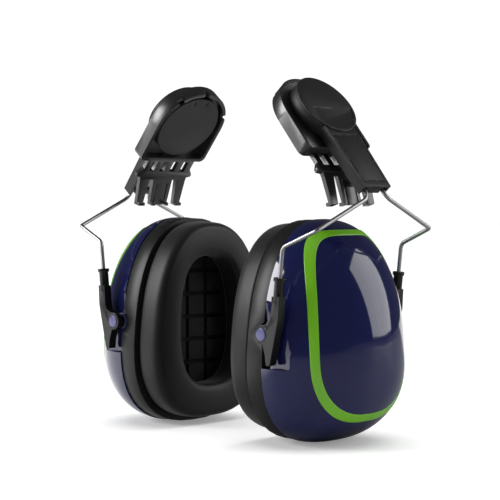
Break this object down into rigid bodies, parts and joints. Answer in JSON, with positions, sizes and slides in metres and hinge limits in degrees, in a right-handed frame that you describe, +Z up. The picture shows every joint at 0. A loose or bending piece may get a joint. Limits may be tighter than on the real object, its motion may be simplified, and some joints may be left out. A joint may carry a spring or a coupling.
{
  "type": "helmet-mounted earmuff pair",
  "caption": "Two cushioned ear cups on spring-wire bows and swinging arms, with slot adapters that plug into a safety helmet.",
  "frame": {"origin": "midway between the two helmet slots, level with the shoulders of the slot tongues", "axes": "+X towards the wearer's left cup, +Y to the wearer's rear, +Z up; the cups hang below the origin with their cushions facing X = 0"},
  "size_m": [0.1814, 0.09, 0.1763],
  "materials": {
    "black_nylon": "fine satin moulding",
    "disc_nylon": "satin moulding",
    "black_gloss": "semi-gloss moulding",
    "yoke_gloss": "gloss moulding",
    "black_satin": "satin moulding",
    "navy_shell": "high gloss moulding",
    "pin_blue": "satin gloss moulding",
    "lime_trim": "satin gloss moulding",
    "wire_steel": "bright drawn wire",
    "spring_steel": "rolled strip",
    "screw_steel": "zinc plated",
    "vinyl": "smooth vinyl skin",
    "cushion_foam": "open cell foam",
    "liner_foam": "open cell foam"
  },
  "bodies": {
    "adapters": {"left_adapter_frame": "black_nylon", "left_click_spring": "spring_steel", "right_adapter_frame": "black_nylon", "right_click_spring": "spring_steel"},
    "left_arm": {"left_hub_disc": "disc_nylon", "left_hub_screw": "screw_steel", "left_arm_housing": "black_gloss", "left_arm_back_cover": "black_nylon", "left_head_cap": "black_gloss"},
    "left_carriage": {"left_slider": "black_nylon", "left_slider_spring": "spring_steel"},
    "left_bow": {"left_wire_bow": "wire_steel", "left_front_yoke": "yoke_gloss", "left_rear_yoke": "yoke_gloss"},
    "left_cup": {"left_cup_shell": "navy_shell", "left_pivot_pins": "pin_blue", "left_trim_ring": "lime_trim", "left_base_plate": "black_satin", "left_cushion_ring": "black_nylon", "left_cushion_skin": "vinyl", "left_cushion_foam": "cushion_foam", "left_foam_liner": "liner_foam"},
    "right_arm": {"right_hub_disc": "disc_nylon", "right_hub_screw": "screw_steel", "right_arm_housing": "black_gloss", "right_arm_back_cover": "black_nylon", "right_head_cap": "black_gloss"},
    "right_carriage": {"right_slider": "black_nylon", "right_slider_spring": "spring_steel"},
    "right_bow": {"right_wire_bow": "wire_steel", "right_front_yoke": "yoke_gloss", "right_rear_yoke": "yoke_gloss"},
    "right_cup": {"right_cup_shell": "navy_shell", "right_pivot_pins": "pin_blue", "right_trim_ring": "lime_trim", "right_base_plate": "black_satin", "right_cushion_ring": "black_nylon", "right_cushion_skin": "vinyl", "right_cushion_foam": "cushion_foam", "right_foam_liner": "liner_foam"}
  },
  "joints": [
    {"name": "left_arm_swing", "type": "hinge", "parent": "adapters", "child": "left_arm", "pos_m": [0.04411, 0, 0.0249], "axis": [0.766, 0, 0.6428], "range_deg": [-30, 30]},
    {"name": "left_height_slide", "type": "slide", "parent": "left_arm", "child": "left_carriage", "axis": [0.6428, 0, -0.766], "range_m": [0, 0.016]},
    {"name": "left_bow_flip", "type": "hinge", "parent": "left_carriage", "child": "left_bow", "pos_m": [0.08287, 0, -0.00667], "axis": [0, -1, 0], "range_deg": [0, 25]},
    {"name": "left_cup_tilt", "type": "hinge", "parent": "left_bow", "child": "left_cup", "pos_m": [0.054, 0, -0.075], "axis": [0, 1, 0], "range_deg": [-10, 10]},
    {"name": "right_arm_swing", "type": "hinge", "parent": "adapters", "child": "right_arm", "pos_m": [-0.04411, 0, 0.0249], "axis": [0.766, 0, -0.6428], "range_deg": [-30, 30]},
    {"name": "right_height_slide", "type": "slide", "parent": "right_arm", "child": "right_carriage", "axis": [-0.6428, 0, -0.766], "range_m": [0, 0.016]},
    {"name": "right_bow_flip", "type": "hinge", "parent": "right_carriage", "child": "right_bow", "pos_m": [-0.08287, 0, -0.00667], "axis": [0, 1, 0], "range_deg": [0, 25]},
    {"name": "right_cup_tilt", "type": "hinge", "parent": "right_bow", "child": "right_cup", "pos_m": [-0.054, 0, -0.075], "axis": [0, -1, 0], "range_deg": [-10, 10]}
  ]
}
